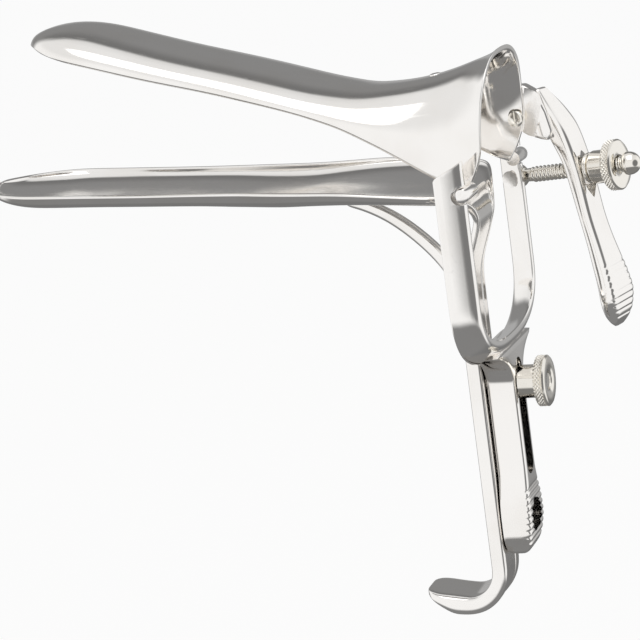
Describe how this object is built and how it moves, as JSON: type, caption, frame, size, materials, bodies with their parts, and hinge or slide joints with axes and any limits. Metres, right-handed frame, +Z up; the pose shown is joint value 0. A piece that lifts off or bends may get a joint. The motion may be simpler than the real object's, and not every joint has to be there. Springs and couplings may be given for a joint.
{
  "type": "bivalve speculum",
  "caption": "Hand-held bivalve speculum: tilting upper blade with thumb lever, sliding lower blade, forked handle and two knurled lock nuts.",
  "frame": {"origin": "centre of the round hole in the finger pad at the shank's lower end", "axes": "+X towards the operator, blades point to -X; +Z up along the shank, foot at -Z; +Y to the side of the thumb lever"},
  "size_m": [0.1544, 0.0584, 0.1484],
  "materials": {
    "steel": "mirror polish",
    "nickel": "bright nickel, knurled and threaded"
  },
  "bodies": {
    "handle": {"yoke": "steel", "rod_pin": "nickel"},
    "top": {"upper_blade": "steel", "thumb_lever": "steel", "lever_screw": "nickel", "ridge_rivet": "steel"},
    "bottom": {"lower_blade": "steel", "clamp_stud": "nickel"},
    "clamp": {"clamp_nut": "nickel"},
    "rod": {"lever_rod": "nickel", "rod_cap": "nickel"},
    "nut": {"lever_nut": "nickel"}
  },
  "joints": [
    {"name": "blade_tilt", "type": "hinge", "parent": "handle", "child": "top", "pos_m": [0.0024, 0, 0.0813], "axis": [0, 1, 0], "range_deg": [-8.5, 8]},
    {"name": "blade_lift", "type": "slide", "parent": "handle", "child": "bottom", "axis": [0, 0, 1], "range_m": [-0.014, 0]},
    {"name": "clamp_turn", "type": "hinge", "parent": "bottom", "child": "clamp", "pos_m": [0.005, 0, 0.0322], "axis": [1, 0, 0], "range_deg": [-360, 0]},
    {"name": "rod_swing", "type": "hinge", "parent": "handle", "child": "rod", "pos_m": [0.0004, 0.0273, 0.07555], "axis": [0.225, 0.9744, 0], "range_deg": [-3.2, 3]},
    {"name": "nut_travel", "type": "slide", "parent": "rod", "child": "nut", "axis": [0.9718, -0.2243, 0.0732], "range_m": [-0.0013, 0.0013]}
  ],
  "couplings": [
    {"joint": "rod_swing", "follows": "blade_tilt", "ratio": 0.35},
    {"joint": "nut_travel", "follows": "blade_tilt", "m_per_rad": -0.0079}
  ]
}
